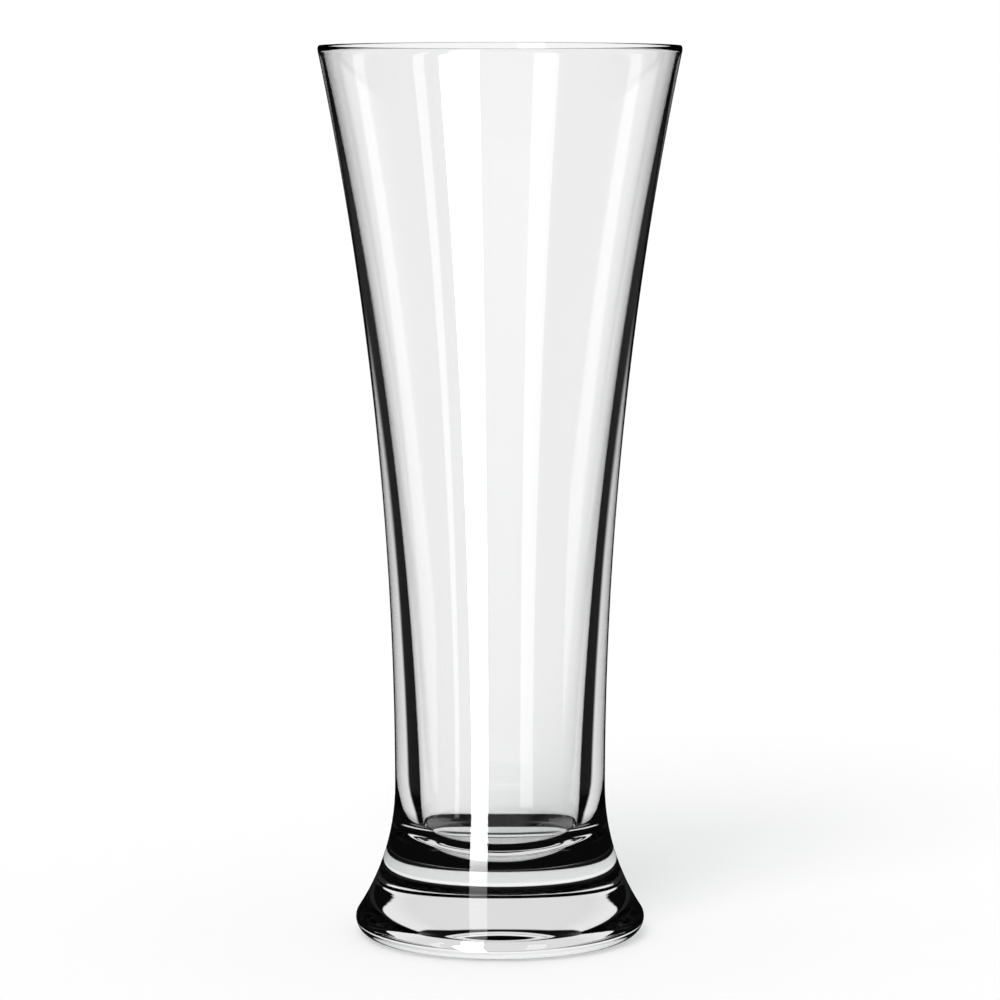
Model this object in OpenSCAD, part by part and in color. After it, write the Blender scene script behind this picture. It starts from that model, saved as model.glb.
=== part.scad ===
// Flared pilsner glass: a thin lip, a tall bowl that opens upward, a thick narrow
// waist, solid glass under the cavity and a spread foot.
// The axis is +Z and the origin lies on the table, under the centre of the foot.
// The real glass is one piece. It is divided here at level planes, where its form
// changes, and the regions meet face to face.

/* [Overall] */
// Height from the table to the top of the lip
height = 197.4; // [185:0.1:215]

/* [Lip] */
// Outside radius of the mouth
mouth_r = 40; // [37:0.5:43]
// Thickness of the rounded bead at the lip
lip_t = 1; // [0.8:0.1:2]
// How far the bead stands out from each face of the wall
bead_out = 0.04; // [0.02:0.01:0.1]
// Height of the fire-polished band at the mouth
lip_h = 3; // [2:0.5:6]

/* [Wall] */
// Outside radius at the waist
waist_r = 23.4; // [22:0.2:25]
// Height of the waist above the table
waist_z = 33.5; // [31:0.5:38]
// Thickness of the wall at the waist, to the narrowest radius of the cavity
waist_t = 6; // [4.5:0.1:7]
// Height at which the thick waist ends and the bowl begins
bowl_z = 72; // [60:1:90]

/* [Cavity] */
// Height at which the curve of the inner wall, run on downward, stands upright
bore_z = 2; // [0:0.5:20]
// Height of the cavity floor at its centre
floor_z = 17.2; // [15:0.2:20]
// Radius of curvature of the dished floor
floor_bow_r = 30; // [26:1:50]
// Radius of the corner between the floor and the inner wall
corner_r = 6; // [3:0.25:7]

/* [Foot] */
// Largest radius of the foot
foot_r = 32.2; // [30.5:0.1:35]
// Height of the widest point of the foot, and radius of the edge below it
heel_r = 3.8; // [3:0.1:5]
// Radius of the shoulder above the widest point
shoulder_r = 2.8; // [2.2:0.1:6]
// Width of the flat bearing ring
ring_w = 6; // [3:0.5:8]
// Depth of the hollow at its centre
hollow_h = 2.2; // [1:0.1:3]
// Radius that eases the inner edge of the bearing ring
ring_edge_r = 2; // [0.5:0.1:2.5]

/* [Hidden] */
// Steps round each circle
$fn = 256;
// How far a cutting shape runs past what it cuts
overrun = 1;

// Lip: the centre of its bead in the profile plane, and half the wall's thickness there
lip_r = lip_t / 2;
lip_c = [mouth_r - lip_r, height - lip_r];
rim_r = lip_r - bead_out;

// Curve of the outer wall, upright at the waist, which passes the lip's centre at rim_r
wall_run = lip_c - [waist_r, waist_z];
wall_curve_r = (wall_run * wall_run - rim_r * rim_r) / (2 * (wall_run[0] + rim_r));
wall_c = [waist_r + wall_curve_r, waist_z];

// Curve of the inner wall, upright at bore_z, which passes it on the other side
bore_r = waist_r - waist_t;
bore_run = lip_c - [bore_r, bore_z];
bore_curve_r = (bore_run * bore_run - rim_r * rim_r) / (2 * (bore_run[0] - rim_r));
bore_c = [bore_r + bore_curve_r, bore_z];

// Points of the outer and the inner wall that are level with the bead's centre
lip_out = lip_c + rim_r * unit(wall_c - lip_c);
lip_in = lip_c + rim_r * unit(lip_c - bore_c);

// Foot: the centre of the shoulder, and the flare that joins it to the waist
shoulder_c = [foot_r - shoulder_r, heel_r];
flare_run = [shoulder_c[0] - waist_r, waist_z - heel_r];
flare_curve_r = (flare_run * flare_run - shoulder_r * shoulder_r)
    / (2 * (flare_run[0] + shoulder_r));
flare_c = [waist_r + flare_curve_r, waist_z];
// Height where the flare runs into the shoulder, and the foot meets the sham
sham_z = heel_r + shoulder_r * unit(flare_c - shoulder_c)[1];

// Cavity: the corner touches the dished floor and the inner wall
floor_c = [0, floor_z + floor_bow_r];
corner_c = meeting(floor_c, floor_bow_r - corner_r, bore_c, bore_curve_r + corner_r);
corner_low = floor_c + floor_bow_r * unit(corner_c - floor_c);
// Height where the corner runs into the wall, and the sham meets the waist
cavity_z = corner_c[1] + corner_r * unit(bore_c - corner_c)[1];

// Hollow under the foot: a shallow cap whose edge is eased onto the bearing ring
hollow_r = foot_r - heel_r - ring_w;
cap_r = (hollow_r * hollow_r + hollow_h * hollow_h) / (2 * hollow_h);
cap_c = [0, hollow_h - cap_r];
ring_edge_c = [sqrt(pow(cap_r + ring_edge_r, 2) - pow(ring_edge_r - cap_c[1], 2)), ring_edge_r];
ring_edge_in = cap_c + cap_r * unit(ring_edge_c - cap_c);

function unit(v) = v / norm(v);

// The lower right meeting point of a circle at a and a circle at b
function meeting(a, ra, b, rb) =
    let (
        gap = norm(b - a),
        along = (ra * ra - rb * rb + gap * gap) / (2 * gap),
        aside = sqrt(ra * ra - along * along),
        ahead = unit(b - a)
    )
    a + along * ahead + aside * [-ahead[1], ahead[0]] * (ahead[0] > 0 ? -1 : 1);

// A level zone of the profile plane, from the axis past the widest point
module zone(z0, z1) {
    translate([0, z0])
        square([max(mouth_r, foot_r) + overrun, z1 - z0]);
}

// A large circle along the wall, with a step that begins level with the bead
module curve(centre, radius) {
    way = lip_c - centre;
    translate(centre)
        rotate(atan2(way[1], way[0]) % (360 / $fn))
            circle(radius);
}

// The profile inside the outer wall between two heights above the shoulder
module outline(z0, z1) {
    difference() {
        zone(z0, z1);
        intersection() {
            zone(waist_z, height + overrun);
            curve(wall_c, wall_curve_r);
        }
        intersection() {
            zone(0, waist_z);
            translate(flare_c)
                circle(flare_curve_r);
        }
    }
}

// The profile of the cavity between two heights above its corner
module cavity(z0, z1) {
    difference() {
        zone(z0, z1);
        curve(bore_c, bore_curve_r);
    }
}

// The profile of the rounded bottom of the cavity, up to where the wall begins
module cavity_bottom() {
    intersection() {
        translate(floor_c)
            circle(floor_bow_r);
        translate([0, floor_z - overrun])
            square([corner_low[0], cavity_z - floor_z + 2 * overrun]);
    }
    translate(corner_c)
        circle(corner_r);
}

// The wall between its two curves
module wall(z0, z1) {
    difference() {
        outline(z0, z1);
        cavity(z0 - overrun, z1 + overrun);
    }
}

// The fire-polished mouth: the top of the wall, and the bead that rounds it
module lip() {
    slope = (lip_out[1] - lip_in[1]) / (lip_out[0] - lip_in[0]);
    top_in = lip_in[1] - slope * lip_in[0];
    top_out = top_in + slope * (mouth_r + overrun);
    color("aliceblue")
        rotate_extrude() {
            intersection() {
                wall(height - lip_h, height);
                polygon([
                    [0, height - lip_h],
                    [mouth_r + overrun, height - lip_h],
                    [mouth_r + overrun, top_out],
                    [0, top_in]
                ]);
            }
            translate(lip_c)
                circle(lip_r);
        }
}

// The tall wall that opens upward
module bowl() {
    color("lightcyan")
        rotate_extrude()
            wall(bowl_z, height - lip_h);
}

// The thick wall round the narrow end of the cavity
module waist() {
    color("powderblue")
        rotate_extrude()
            wall(cavity_z, bowl_z);
}

// The solid glass under the cavity, with the dished floor in its top
module sham() {
    color("lightsteelblue")
        rotate_extrude()
            difference() {
                outline(sham_z, cavity_z);
                cavity_bottom();
            }
}

// The rounded profile of the foot, from the table to the sham
module heel() {
    square([foot_r - heel_r, heel_r]);
    intersection() {
        zone(0, heel_r);
        translate([foot_r - heel_r, heel_r])
            circle(heel_r);
    }
    translate([0, heel_r])
        square([shoulder_c[0], sham_z - heel_r]);
    intersection() {
        zone(heel_r, sham_z);
        translate(shoulder_c)
            circle(shoulder_r);
    }
}

// The profile of the hollow, with its rim rolled onto the bearing ring
module hollow() {
    intersection() {
        translate(cap_c)
            circle(cap_r);
        square([ring_edge_in[0], hollow_h + overrun]);
    }
    difference() {
        translate([ring_edge_in[0], -overrun])
            square([ring_edge_c[0] - ring_edge_in[0], ring_edge_in[1] + overrun]);
        translate(ring_edge_c)
            circle(ring_edge_r);
    }
}

// The spread foot, which stands on its bearing ring
module foot() {
    color("steelblue")
        rotate_extrude()
            difference() {
                heel();
                hollow();
            }
}

foot();
sham();
waist();
bowl();
lip();
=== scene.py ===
"""The finished look of a flared pilsner glass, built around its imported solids.

Lengths are in metres and angles in degrees, unless a name says otherwise. The glass
stands on the floor with its axis on +Z, and the photograph was taken from -Y.
"""

import math

import bpy
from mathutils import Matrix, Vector


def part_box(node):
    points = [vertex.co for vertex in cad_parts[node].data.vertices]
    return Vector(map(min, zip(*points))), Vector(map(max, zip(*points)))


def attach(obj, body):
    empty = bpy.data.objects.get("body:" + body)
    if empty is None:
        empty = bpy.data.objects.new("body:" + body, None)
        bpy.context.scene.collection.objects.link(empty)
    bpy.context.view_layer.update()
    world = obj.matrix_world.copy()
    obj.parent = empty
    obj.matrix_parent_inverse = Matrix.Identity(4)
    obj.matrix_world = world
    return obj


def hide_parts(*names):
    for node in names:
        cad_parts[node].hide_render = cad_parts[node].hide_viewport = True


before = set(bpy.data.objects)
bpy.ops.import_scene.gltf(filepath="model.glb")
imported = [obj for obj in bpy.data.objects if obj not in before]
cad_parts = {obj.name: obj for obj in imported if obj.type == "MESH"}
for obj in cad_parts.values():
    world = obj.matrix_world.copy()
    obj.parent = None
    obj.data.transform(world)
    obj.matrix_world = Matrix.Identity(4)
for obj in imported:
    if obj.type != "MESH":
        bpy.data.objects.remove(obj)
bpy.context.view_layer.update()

# Outline of the glass. What the solids give is read from their boxes.
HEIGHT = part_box("lip")[1][2]
MOUTH_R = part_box("lip")[1][0]
FOOT_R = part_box("foot")[1][0]
LIP_T = 0.001
# The lip is rounded on its outside: width and height of the rounding, radius of the inner edge
LIP_ROUND = (0.0006, 0.0014)
LIP_EDGE_R = 0.0002
WAIST_R = 0.0234
WAIST_Z = 0.0335
WAIST_T = 0.006
BORE_Z = 0.002
FLOOR_Z = 0.0172
FLOOR_BOW_R = 0.03
CORNER_R = 0.006
HEEL_R = 0.0038
SHOULDER_R = 0.0028
RING_W = 0.006
HOLLOW_H = 0.0022
RING_EDGE_R = 0.002

# Mesh: steps round the axis, the longest and the most turned step along the outline, and
# the fewest steps of an arc
ROUND_STEPS = 256
LONGEST_STEP = 0.0022
TURN_STEP = 5
FEWEST_STEPS = 2

# Glass. The lamp's light keeps the shadow tint at each face that it passes.
GLASS_IOR = 1.52
GLASS_TINT = (0.998, 0.999, 0.999)
SHADOW_TINT = (0.8, 0.81, 0.81)
# Ripples grow between two heights, from a small share to their full depth
RIPPLE_SCALE = 55
RIPPLE_DETAIL = 1
RIPPLE_DEPTH = 0.000006
RIPPLE_GROWS = (0.03, 0.06)
RIPPLE_SHARE = 0.1
# Scuffs lie where the noise rises through the two values, up to the top height
SCUFF_TOP = 0.0004
SCUFF_SCALE = 900
SCUFF_NOISE = (0.4, 0.6)
SCUFF_ROUGHNESS = 0.1

# Camera, fitted to the outline of the glass in the photograph
PICTURE_PX = 1000
FOCAL_PX = 4410
SENSOR_W = 36
CAMERA_BACK = 0.969
CAMERA_Z = 0.2145
AIM_Z = 0.09725

# Light: what rays of each kind find in each direction. Azimuth 0 is straight behind the
# glass and grows to the right, and elevation is above the horizon.
DARK_LEVEL = 0.003
WHITE_LEVEL = 1.0
DIFFUSE_LEVEL = 0.6
EDGE_SOFTNESS = 0.8
# What is mirrored inside the glass is a panel behind it, with a foot that narrows upward.
# A profile is a row of pairs, joined by straight lines.
# Half width by elevation, top by azimuth, level by azimuth
PANEL_HALF = ((-6, 38), (0, 33), (8, 35), (14, 39), (20, 48), (26, 52))
PANEL_TOP = ((22, 46), (36, 43))
PANEL_LEVEL = ((25, 0.78), (48, 1.05))
PANEL_LOW = -6.5
PANEL_SOFTNESS = 1.2
# The foot of the panel: half width and level by elevation
FOOT_HALF = ((-24, 45), (-16.5, 34), (-13, 28.5), (-9.5, 14))
FOOT_LEVEL = ((-31, 0.6), (-25, 0.92))
FOOT_SPAN = (-33, -9.5)
FOOT_SOFTNESS = 4
# Faint panels at the sides and in front: azimuths of their middles, half width, elevations
FAINT_TURNS = (90, 180, -90)
FAINT_HALF = 39
FAINT_SPAN = (2, 46)
FAINT_LEVEL = 0.02
# Fill from the camera's side for light that is mirrored inside just once: from which
# azimuth to which it rises, elevations, and its level by elevation
FILL_RISES = (130, 155)
FILL_SPAN = (-36, 34)
FILL_LEVEL = ((-22, 0.8), (-17.5, 0.43), (-13, 0), (2, 0.1), (12, 0.5), (19, 0.5), (22, 0))
# More light at the sides for what the far wall mirrors, which has passed more faces than
# this: level by azimuth, share by elevation
FAR_PASSES = 3
FAR_LEVEL = ((35, 0), (45, 1.2), (72, 1.2), (90, 0.4), (115, 0.1), (150, 0))
FAR_SHARE = ((-10, 0.1), (-3, 0.6), (5, 1), (11, 1), (15, 0))
# Shares of all this that are left for light mirrored inside more often than so many times
DEEP_SHARES = ((2, 0.15), (4, 0.02))
# Softboxes that the outside mirrors, with azimuths counted from the camera to the right:
# from and to at the elevation LEAN_FROM, from and to at LEAN_TO, lowest and highest
# elevation, level
LEAN_FROM, LEAN_TO = -12, -22
SOFTBOXES = (
    (-50, -45, -60, -51, -40, -4, 2.7),
    (22, 36, 22, 39, -40, -8, 2.7),
)
# The key softbox, in the same order. It is brightest up to the first elevation, and dims to
# the second, between the two levels.
KEY_BOX = (-31, -13, -40, -14, -60, 60)
KEY_DIMS = (8, 30)
KEY_LEVELS = (24, 2.8)
# A slanting strip of light low at each side: azimuths from the camera, lowest and highest
# elevation at STRIP_TURN beside the camera, level. It falls by STRIP_FALL with each degree.
SIDE_STRIPS = (
    (-122, -72, -15.9, -13.1, 1.6),
    (72, 122, -17.3, -14.4, 1.6),
)
STRIP_TURN, STRIP_FALL = 100, 0.1
STRIP_SOFTNESS = 0.5

# One soft lamp for the shadow on the floor
LAMP_STRENGTH = 1.75
LAMP_SPREAD = 30
LAMP_TILT = (40, 0, -20)

# Floor of pale paper, a hair below the glass
FLOOR_COLOUR = (0.97, 0.97, 0.97)
FLOOR_R = 40
FLOOR_STEPS = 64
FLOOR_GAP = 0.0001

# How often light is followed on through glass
BOUNCES = 24


def flat(x, y):
    """A point of the outline: its radius and its height."""
    return Vector((x, y))


def bend(centre, start, end):
    """Points from start to end on the shorter arc about centre, without start."""
    a, b = start - centre, end - centre
    turn = math.atan2(a.x * b.y - a.y * b.x, a.dot(b))
    by_turn = abs(math.degrees(turn)) / TURN_STEP
    by_length = abs(turn) * a.length / LONGEST_STEP
    steps = math.ceil(max(by_turn, by_length, FEWEST_STEPS))
    points = []
    for k in range(1, steps + 1):
        c, s = math.cos(turn * k / steps), math.sin(turn * k / steps)
        points.append(centre + flat(a.x * c - a.y * s, a.x * s + a.y * c))
    return points


def upright_curve(foot, target, touch):
    """Centre of the circle that rises upright from foot and passes target at the
    distance touch: on its far side if touch is negative."""
    run = target - foot
    radius = (run.length_squared - touch * touch) / (2 * (run.x + touch))
    return foot + flat(radius, 0)


def on_curve(centre, radius, height):
    """The point of the circle at that height that lies nearer to the axis, and its lean."""
    rise = height - centre.y
    run = math.sqrt(radius**2 - rise**2)
    return flat(centre.x - run, height), rise / run


def rounding(centre, first, last):
    """Points of a quarter of an ellipse from centre + first to centre + last, without the
    first of them."""
    steps = math.ceil(90 / TURN_STEP)
    turns = [math.pi / 2 * k / steps for k in range(1, steps + 1)]
    return [centre + first * math.cos(a) + last * math.sin(a) for a in turns]


def meeting(a, radius_a, b, radius_b):
    """The meeting point of two circles that lies to the right of the way from a to b."""
    way = b - a
    along = (radius_a**2 - radius_b**2 + way.length_squared) / (2 * way.length)
    aside = math.sqrt(radius_a**2 - along**2)
    ahead = way.normalized()
    return a + along * ahead + aside * flat(ahead.y, -ahead.x)


def outline():
    """The outline from the middle of the hollow, round the outside, to the cavity floor."""
    lip_r = LIP_T / 2
    lip_c = flat(MOUTH_R - lip_r, HEIGHT - lip_r)
    waist = flat(WAIST_R, WAIST_Z)
    wall_c = upright_curve(waist, lip_c, lip_r)
    bore = flat(WAIST_R - WAIST_T, BORE_Z)
    bore_c = upright_curve(bore, lip_c, -lip_r)
    bore_curve_r = (bore_c - bore).length
    wide, high = LIP_ROUND
    lip_out, lean = on_curve(wall_c, (wall_c - waist).length, HEIGHT - high)
    lip_in, lean_in = on_curve(bore_c, bore_curve_r, HEIGHT - LIP_EDGE_R)

    shoulder_c = flat(FOOT_R - SHOULDER_R, HEEL_R)
    below = flat(WAIST_R, 2 * WAIST_Z - HEEL_R)
    flare_c = upright_curve(waist, flat(shoulder_c.x, below.y), SHOULDER_R)
    shoulder_top = shoulder_c + SHOULDER_R * (flare_c - shoulder_c).normalized()

    floor_c = flat(0, FLOOR_Z + FLOOR_BOW_R)
    corner_c = meeting(floor_c, FLOOR_BOW_R - CORNER_R, bore_c, bore_curve_r + CORNER_R)
    corner_low = floor_c + FLOOR_BOW_R * (corner_c - floor_c).normalized()
    corner_top = corner_c + CORNER_R * (bore_c - corner_c).normalized()

    hollow_r = FOOT_R - HEEL_R - RING_W
    cap_r = (hollow_r**2 + HOLLOW_H**2) / (2 * HOLLOW_H)
    cap_c = flat(0, HOLLOW_H - cap_r)
    edge_x = math.sqrt((cap_r + RING_EDGE_R) ** 2 - (RING_EDGE_R - cap_c.y) ** 2)
    edge_c = flat(edge_x, RING_EDGE_R)
    edge_in = cap_c + cap_r * (edge_c - cap_c).normalized()

    heel_c = flat(FOOT_R - HEEL_R, HEEL_R)
    points = [flat(0, HOLLOW_H)]
    points += bend(cap_c, points[-1], edge_in)
    points += bend(edge_c, points[-1], flat(edge_x, 0))
    points.append(flat(heel_c.x, 0))
    points += bend(heel_c, points[-1], flat(FOOT_R, HEEL_R))
    points += bend(shoulder_c, points[-1], shoulder_top)
    points += bend(flare_c, points[-1], waist)
    points += bend(wall_c, points[-1], lip_out)
    points += rounding(lip_out - flat(wide, 0), flat(wide, 0), flat(high * lean, high))
    across, down = flat(LIP_EDGE_R, 0), flat(LIP_EDGE_R * lean_in, LIP_EDGE_R)
    points.append(lip_in + across + down)
    points += rounding(lip_in + across, down, -across)
    points += bend(bore_c, points[-1], corner_top)
    points += bend(corner_c, points[-1], corner_low)
    points += bend(floor_c, points[-1], flat(0, FLOOR_Z))
    return points


def lathe(name, points):
    """A closed mesh: the outline turned about the axis. Its two ends lie on the axis."""
    verts = [(0, 0, points[0].y)]
    for p in points[1:-1]:
        for k in range(ROUND_STEPS):
            angle = 2 * math.pi * k / ROUND_STEPS
            verts.append((p.x * math.cos(angle), p.x * math.sin(angle), p.y))
    verts.append((0, 0, points[-1].y))

    def at(ring, k):
        return 1 + ring * ROUND_STEPS + k % ROUND_STEPS

    rings = len(points) - 2
    faces = []
    for k in range(ROUND_STEPS):
        faces.append((0, at(0, k + 1), at(0, k)))
        for ring in range(rings - 1):
            faces.append((at(ring, k), at(ring, k + 1), at(ring + 1, k + 1), at(ring + 1, k)))
        faces.append((at(rings - 1, k), at(rings - 1, k + 1), len(verts) - 1))
    mesh = bpy.data.meshes.new(name)
    mesh.from_pydata(verts, [], faces)
    mesh.polygons.foreach_set("use_smooth", [True] * len(mesh.polygons))
    piece = bpy.data.objects.new(name, mesh)
    bpy.context.scene.collection.objects.link(piece)
    return piece


class Graph:
    """Shorthand for making nodes."""

    def __init__(self, tree):
        tree.nodes.clear()
        self.tree = tree

    def node(self, kind, **values):
        made = self.tree.nodes.new("ShaderNode" + kind)
        for name, value in values.items():
            setattr(made, name, value)
        return made

    def put(self, value, socket):
        """Sets the socket to a plain value, or links it to another socket."""
        if isinstance(value, bpy.types.NodeSocket):
            self.tree.links.new(value, socket)
        else:
            socket.default_value = value

    def math(self, operation, *values):
        made = self.node("Math", operation=operation)
        for value, socket in zip(values, made.inputs):
            self.put(value, socket)
        return made.outputs[0]

    def ramp(self, value, low, high, to_low=0.0, to_high=1.0, kind="SMOOTHSTEP"):
        """A smooth change from to_low at low to to_high at high."""
        made = self.node("MapRange", interpolation_type=kind)
        limits = {"Value": value, "From Min": low, "From Max": high}
        limits.update({"To Min": to_low, "To Max": to_high})
        for name, limit in limits.items():
            self.put(limit, made.inputs[name])
        return made.outputs["Result"]

    def line(self, value, low, high, to_low, to_high):
        """A straight change from to_low at low to to_high at high."""
        return self.ramp(value, low, high, to_low, to_high, "LINEAR")

    def profile(self, value, pairs):
        """The straight lines that join the pairs, level before the first and after the last."""
        total = pairs[0][1]
        for (low, at_low), (high, at_high) in zip(pairs, pairs[1:]):
            total = self.math("ADD", total, self.line(value, low, high, 0.0, at_high - at_low))
        return total

    def under(self, value, limit, soft):
        """1 where the value is below the limit, and 0 above it."""
        return self.ramp(self.math("SUBTRACT", limit, value), -soft, soft)

    def band(self, value, low, high, soft):
        """1 between low and high, and 0 outside."""
        rise = self.ramp(value, low - soft, low + soft)
        fall = self.ramp(value, high + soft, high - soft)
        return self.math("MULTIPLY", rise, fall)

    def either(self, share, a, b):
        """a where share is 0, and b where it is 1."""
        kept = self.math("MULTIPLY", a, self.math("SUBTRACT", 1.0, share))
        return self.math("MULTIPLY_ADD", b, share, kept)

    def deeper(self, kind, count):
        """1 for light that met more than count Glossy or Transmission bounces."""
        depth = self.node("LightPath").outputs[kind + " Depth"]
        return self.math("GREATER_THAN", depth, count + 0.5)


def glass_material():
    """Clear glass with faint ripples, and scuffs where the bearing ring meets tables."""
    material = bpy.data.materials.new("clear_glass")
    material.use_nodes = True
    g = Graph(material.node_tree)
    place = g.node("TexCoord").outputs["Object"]
    parts = g.node("SeparateXYZ")
    g.put(place, parts.inputs[0])

    ripple = g.node("TexNoise")
    g.put(place, ripple.inputs["Vector"])
    ripple.inputs["Scale"].default_value = RIPPLE_SCALE
    ripple.inputs["Detail"].default_value = RIPPLE_DETAIL
    bump = g.node("Bump")
    bump.inputs["Distance"].default_value = RIPPLE_DEPTH
    g.put(g.ramp(parts.outputs["Z"], *RIPPLE_GROWS, RIPPLE_SHARE, 1.0), bump.inputs["Strength"])
    g.put(ripple.outputs[0], bump.inputs["Height"])

    scratches = g.node("TexNoise")
    g.put(place, scratches.inputs["Vector"])
    scratches.inputs["Scale"].default_value = SCUFF_SCALE
    low = g.ramp(parts.outputs["Z"], SCUFF_TOP, 0.0)
    worn = g.math("MULTIPLY", low, g.ramp(scratches.outputs[0], *SCUFF_NOISE))
    roughness = g.math("MULTIPLY", worn, SCUFF_ROUGHNESS)

    glass = g.node("BsdfPrincipled")
    glass.inputs["Base Color"].default_value = (*GLASS_TINT, 1)
    glass.inputs["Transmission Weight"].default_value = 1.0
    glass.inputs["IOR"].default_value = GLASS_IOR
    g.put(roughness, glass.inputs["Roughness"])
    g.put(bump.outputs[0], glass.inputs["Normal"])

    lamp_side = g.node("BsdfTransparent")
    lamp_side.inputs["Color"].default_value = (*SHADOW_TINT, 1)
    mix = g.node("MixShader")
    g.put(g.node("LightPath").outputs["Is Shadow Ray"], mix.inputs[0])
    g.put(glass.outputs[0], mix.inputs[1])
    g.put(lamp_side.outputs[0], mix.inputs[2])
    g.put(mix.outputs[0], g.node("OutputMaterial").inputs["Surface"])
    return material


def glass_piece():
    """The whole glass: one unbroken skin that stands for all five solids."""
    glass = lathe("pilsner_glass", outline())
    glass.data.materials.append(glass_material())
    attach(glass, "root")
    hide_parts("foot", "sham", "waist", "bowl", "lip")


def floor():
    """A plain pale floor. Light that was mirrored in the glass passes through it."""
    bpy.ops.mesh.primitive_circle_add(
        vertices=FLOOR_STEPS, radius=FLOOR_R, fill_type="NGON", location=(0, 0, -FLOOR_GAP)
    )
    piece = bpy.context.object
    piece.name = "floor"
    material = bpy.data.materials.new("floor_paper")
    material.use_nodes = True
    g = Graph(material.node_tree)
    paper = g.node("BsdfDiffuse")
    paper.inputs["Color"].default_value = (*FLOOR_COLOUR, 1)
    mix = g.node("MixShader")
    g.put(g.deeper("Glossy", 0), mix.inputs[0])
    g.put(paper.outputs[0], mix.inputs[1])
    g.put(g.node("BsdfTransparent").outputs[0], mix.inputs[2])
    g.put(mix.outputs[0], g.node("OutputMaterial").inputs["Surface"])
    piece.data.materials.append(material)


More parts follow.
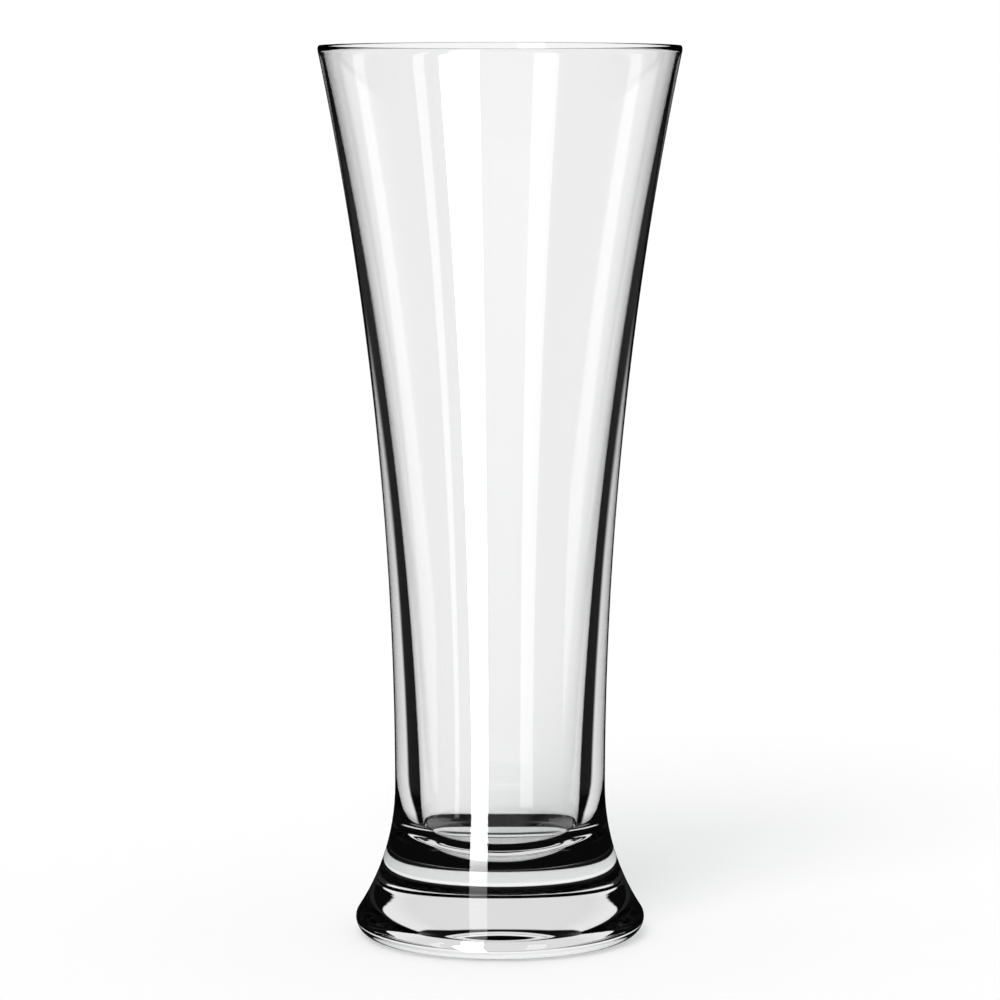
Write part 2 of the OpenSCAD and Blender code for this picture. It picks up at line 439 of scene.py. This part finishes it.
def studio():
    """The room: white to look at, with panels and softboxes for what the glass mirrors."""
    world = bpy.data.worlds.new("studio")
    bpy.context.scene.world = world
    world.use_nodes = True
    g = Graph(world.node_tree)
    parts = g.node("SeparateXYZ")
    g.put(g.node("TexCoord").outputs["Generated"], parts.inputs[0])
    azimuth = g.math("DEGREES", g.math("ARCTAN2", parts.outputs["X"], parts.outputs["Y"]))
    elevation = g.math("DEGREES", g.math("ARCSINE", parts.outputs["Z"]))

    def beside(centre):
        """Azimuth counted from a centre, from -180 to 180."""
        return g.math("WRAP", g.math("SUBTRACT", azimuth, float(centre)), 180.0, -180.0)

    def add(before, level, *shares):
        """Adds light of that level, where all the shares are 1, to what was there."""
        for share in shares:
            level = g.math("MULTIPLY", level, share)
        return g.math("ADD", before, level)

    def tall(low, high):
        return g.band(elevation, low, high, EDGE_SOFTNESS)

    from_camera = g.math("MULTIPLY", beside(180), -1.0)

    def leaning(near_from, near_to, far_from, far_to):
        """1 between two edges whose azimuth changes with the elevation."""
        low = g.line(elevation, LEAN_TO, LEAN_FROM, far_from, near_from)
        high = g.line(elevation, LEAN_TO, LEAN_FROM, far_to, near_to)
        rise = g.ramp(g.math("SUBTRACT", from_camera, low), -EDGE_SOFTNESS, EDGE_SOFTNESS)
        fall = g.ramp(g.math("SUBTRACT", high, from_camera), -EDGE_SOFTNESS, EDGE_SOFTNESS)
        return g.math("MULTIPLY", rise, fall)

    outside = DARK_LEVEL
    for *edges, low, high, level in SOFTBOXES:
        outside = add(outside, level, leaning(*edges), tall(low, high))
    *edges, low, high = KEY_BOX
    key_level = g.ramp(elevation, *KEY_DIMS, *KEY_LEVELS)
    outside = add(outside, key_level, leaning(*edges), tall(low, high))
    past = g.math("SUBTRACT", g.math("ABSOLUTE", from_camera), float(STRIP_TURN))
    slant = g.math("MULTIPLY_ADD", past, STRIP_FALL, elevation)
    for start, end, low, high, level in SIDE_STRIPS:
        aside = g.band(from_camera, start, end, EDGE_SOFTNESS)
        outside = add(outside, level, aside, g.band(slant, low, high, STRIP_SOFTNESS))

    inside = DARK_LEVEL
    for centre in FAINT_TURNS:
        wide = g.band(beside(centre), -FAINT_HALF, FAINT_HALF, EDGE_SOFTNESS)
        inside = add(inside, FAINT_LEVEL, wide, tall(*FAINT_SPAN))
    turn = g.math("ABSOLUTE", azimuth)
    width = g.under(turn, g.profile(elevation, PANEL_HALF), PANEL_SOFTNESS)
    top = g.under(elevation, g.profile(turn, PANEL_TOP), PANEL_SOFTNESS)
    bottom = g.ramp(elevation, PANEL_LOW - EDGE_SOFTNESS, PANEL_LOW + EDGE_SOFTNESS)
    inside = add(inside, g.profile(turn, PANEL_LEVEL), width, top, bottom)
    width = g.under(turn, g.profile(elevation, FOOT_HALF), FOOT_SOFTNESS)
    inside = add(inside, g.profile(elevation, FOOT_LEVEL), width, tall(*FOOT_SPAN))
    once = g.math("SUBTRACT", 1.0, g.deeper("Glossy", 1))
    rise = g.ramp(turn, *FILL_RISES)
    inside = add(inside, g.profile(elevation, FILL_LEVEL), rise, tall(*FILL_SPAN), once)
    across = g.deeper("Transmission", FAR_PASSES)
    share = g.profile(elevation, FAR_SHARE)
    inside = add(inside, g.profile(turn, FAR_LEVEL), share, once, across)
    kept = 1.0
    for count, left in DEEP_SHARES:
        kept = g.either(g.deeper("Glossy", count), kept, left)
    inside = g.math("MULTIPLY", inside, kept)

    strength = g.either(g.deeper("Transmission", 0), outside, inside)
    strength = g.either(g.deeper("Glossy", 0), WHITE_LEVEL, strength)
    diffuse = g.node("LightPath").outputs["Is Diffuse Ray"]
    strength = g.either(diffuse, strength, DIFFUSE_LEVEL)
    background = g.node("Background")
    background.inputs["Color"].default_value = (1, 1, 1, 1)
    g.put(strength, background.inputs["Strength"])
    g.put(background.outputs[0], g.node("OutputWorld").inputs["Surface"])


def lamp():
    """One large soft lamp, for the shadow on the floor."""
    light = bpy.data.lights.new("soft_lamp", "SUN")
    light.energy = LAMP_STRENGTH
    light.angle = math.radians(LAMP_SPREAD)
    piece = bpy.data.objects.new("soft_lamp", light)
    bpy.context.scene.collection.objects.link(piece)
    piece.rotation_euler = [math.radians(a) for a in LAMP_TILT]
    piece.visible_glossy = False
    piece.visible_transmission = False


def camera():
    """The camera at the photograph's place."""
    lens = bpy.data.cameras.new("camera")
    lens.sensor_width = SENSOR_W
    lens.lens = SENSOR_W * FOCAL_PX / PICTURE_PX
    piece = bpy.data.objects.new("camera", lens)
    bpy.context.scene.collection.objects.link(piece)
    piece.location = (0, -CAMERA_BACK, CAMERA_Z)
    down = math.atan2(CAMERA_Z - AIM_Z, CAMERA_BACK)
    piece.rotation_euler = (math.pi / 2 - down, 0, 0)
    bpy.context.scene.camera = piece


camera()
glass_piece()
floor()
studio()
lamp()
scene = bpy.context.scene
scene.view_settings.view_transform = "Standard"
scene.cycles.max_bounces = BOUNCES
scene.cycles.transmission_bounces = BOUNCES
scene.cycles.glossy_bounces = BOUNCES
